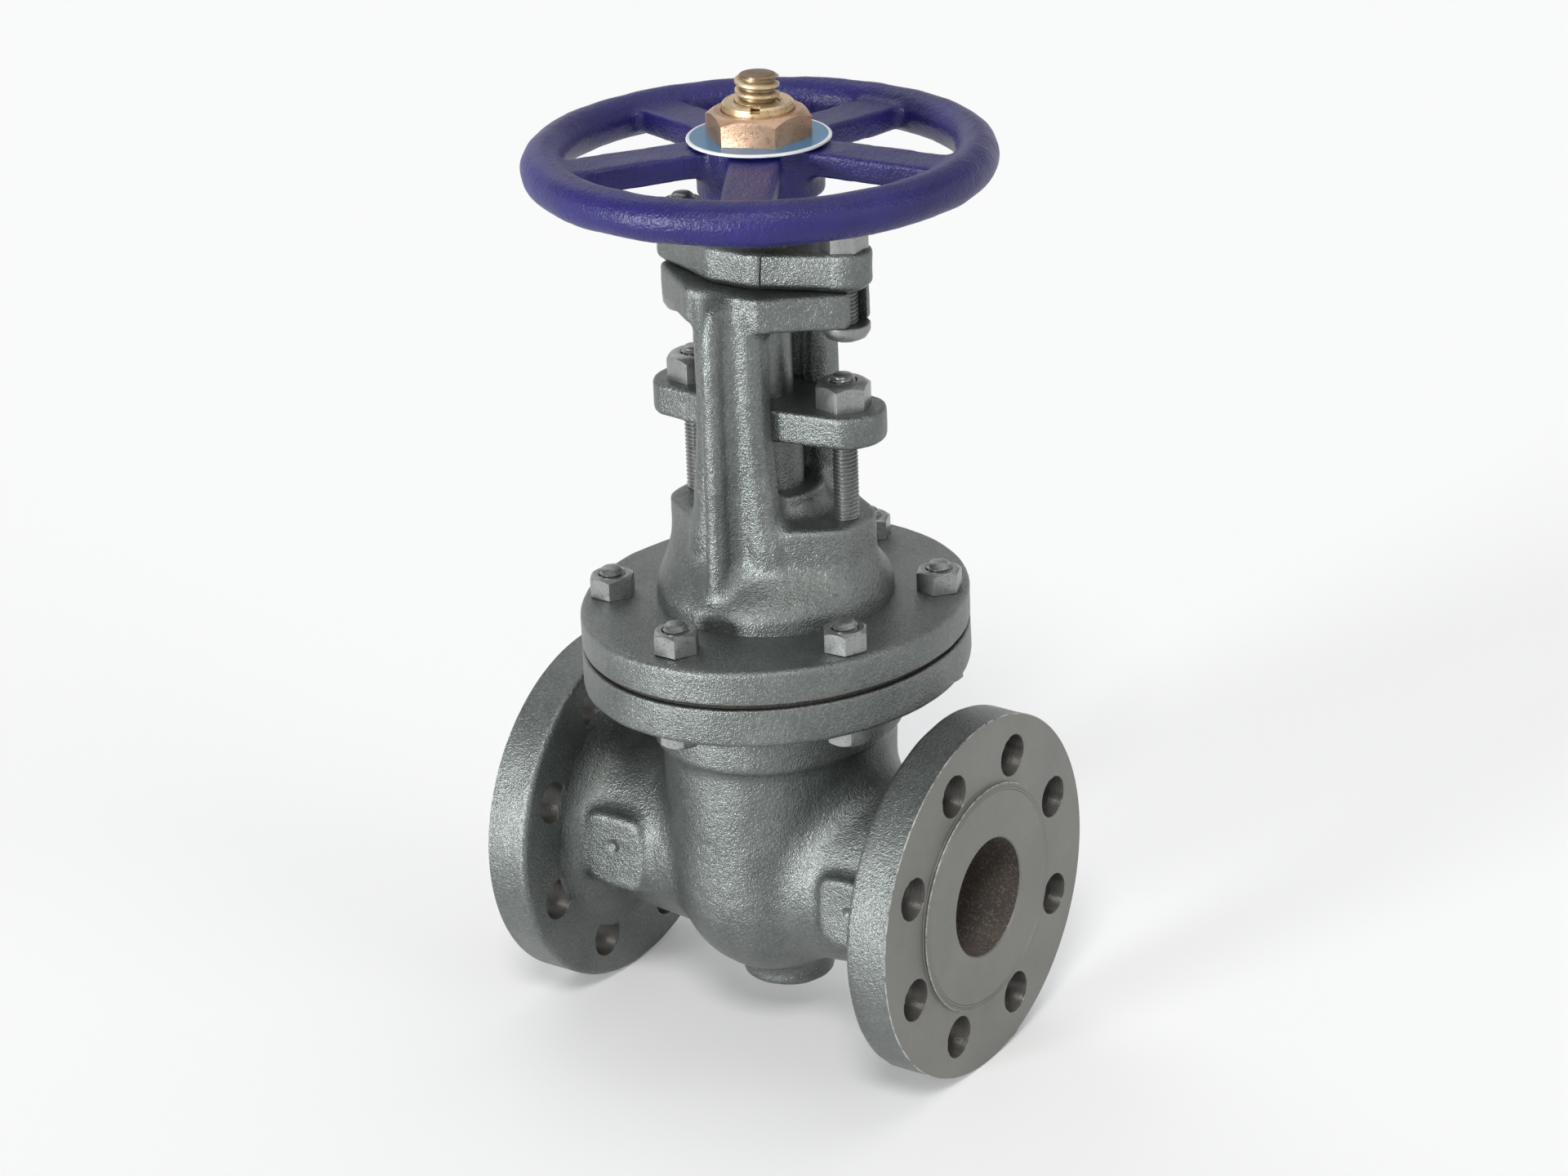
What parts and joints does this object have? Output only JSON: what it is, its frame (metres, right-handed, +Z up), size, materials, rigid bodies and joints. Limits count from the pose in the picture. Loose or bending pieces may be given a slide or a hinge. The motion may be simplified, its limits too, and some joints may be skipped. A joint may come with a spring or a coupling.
{
  "type": "outside screw and yoke gate valve",
  "caption": "Flanged gate valve with an outside screw and yoke, rising stem, bolted bonnet, gland follower and spoked handwheel, shown closed.",
  "frame": {"origin": "centre of the inlet flange's raised face, on the face", "axes": "+X runs through the valve from the inlet to the outlet, +Z runs up the stem towards the handwheel, +Y is the far side"},
  "size_m": [0.2159, 0.2032, 0.4425],
  "materials": {
    "cast_iron_paint": "grey-green metallic paint over sand-cast iron, machined faces left smooth",
    "wheel_paint": "thick blue-violet gloss paint over cast iron",
    "bolt_steel": "dull grey steel bolting",
    "stem_bronze": "turned bronze",
    "sleeve_bronze": "turned golden bronze",
    "nut_bronze": "pinkish bronze, milled flats",
    "trim_bronze": "machined bronze",
    "gasket_sheet": "dark compressed sheet",
    "plate_enamel": "blue enamelled disc with a pale edge, no lettering"
  },
  "bodies": {
    "valve": {"body": "cast_iron_paint", "bonnet": "cast_iron_paint", "bonnet_gasket": "gasket_sheet", "bonnet_bolt_1": "bolt_steel", "bonnet_bolt_2": "bolt_steel", "bonnet_bolt_3": "bolt_steel", "bonnet_bolt_4": "bolt_steel", "bonnet_bolt_5": "bolt_steel", "bonnet_bolt_6": "bolt_steel", "bonnet_nut_1": "bolt_steel", "bonnet_nut_2": "bolt_steel", "bonnet_nut_3": "bolt_steel", "bonnet_nut_4": "bolt_steel", "bonnet_nut_5": "bolt_steel", "bonnet_nut_6": "bolt_steel", "yoke_cap": "cast_iron_paint", "cap_bolt_left": "bolt_steel", "cap_bolt_right": "bolt_steel", "cap_nut_left": "bolt_steel", "cap_nut_right": "bolt_steel", "gland_follower": "cast_iron_paint", "gland_stud_left": "bolt_steel", "gland_stud_right": "bolt_steel", "gland_nut_left": "bolt_steel", "gland_nut_right": "bolt_steel", "inlet_seat_ring": "trim_bronze", "outlet_seat_ring": "trim_bronze"},
    "wheel_group": {"yoke_sleeve": "sleeve_bronze", "handwheel": "wheel_paint", "handwheel_nut": "nut_bronze", "identification_plate": "plate_enamel"},
    "stem_group": {"stem": "stem_bronze", "wedge": "trim_bronze"}
  },
  "joints": [
    {"name": "handwheel_turn", "type": "hinge", "parent": "valve", "child": "wheel_group", "pos_m": [0.10795, 0, 0.323], "axis": [0, 0, 1], "range_deg": [0, 5400]},
    {"name": "stem_rise", "type": "slide", "parent": "valve", "child": "stem_group", "axis": [0, 0, 1], "range_m": [0, 0.0636]}
  ],
  "couplings": [
    {"joint": "stem_rise", "follows": "handwheel_turn", "m_per_rad": 0.00067375}
  ]
}
